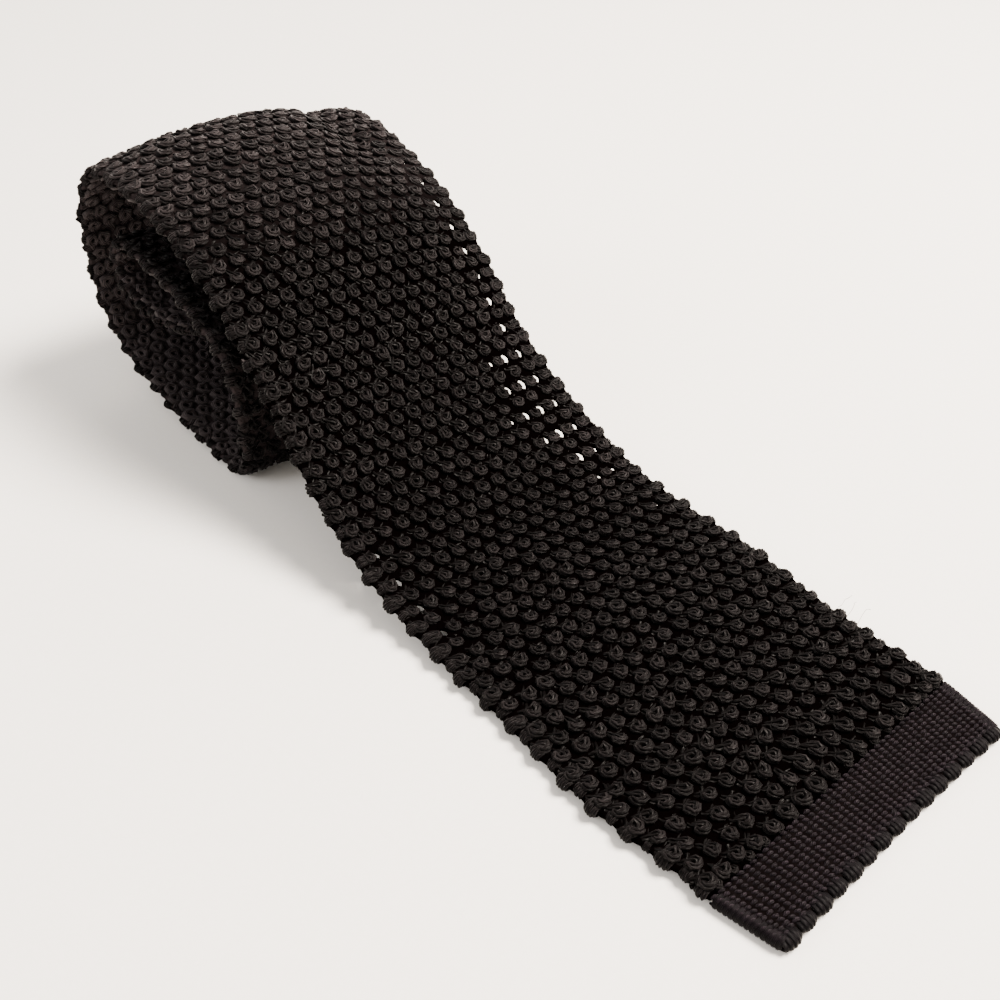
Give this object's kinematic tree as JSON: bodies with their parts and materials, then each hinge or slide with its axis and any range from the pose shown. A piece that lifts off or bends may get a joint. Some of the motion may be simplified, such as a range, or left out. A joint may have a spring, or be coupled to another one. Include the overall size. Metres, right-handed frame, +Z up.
{
  "type": "knit tie",
  "caption": "Black knit tie lying with its wide blade flat to the hem and the rest loosely rolled up on itself.",
  "frame": {"origin": "middle of the underside of the bounding box, on the surface that the tie lies on", "axes": "+X along the tie toward its hem, +Y across the blade, +Z up"},
  "size_m": [0.189, 0.0626, 0.0528],
  "materials": {
    "bobble_knit": "matte knitted yarn with a slight sheen",
    "fine_knit": "fine matte knitted yarn",
    "narrow_knit": "matte knitted yarn"
  },
  "bodies": {
    "root": {"blade": "bobble_knit", "hem_band": "fine_knit", "neckband": "narrow_knit"}
  },
  "joints": []
}
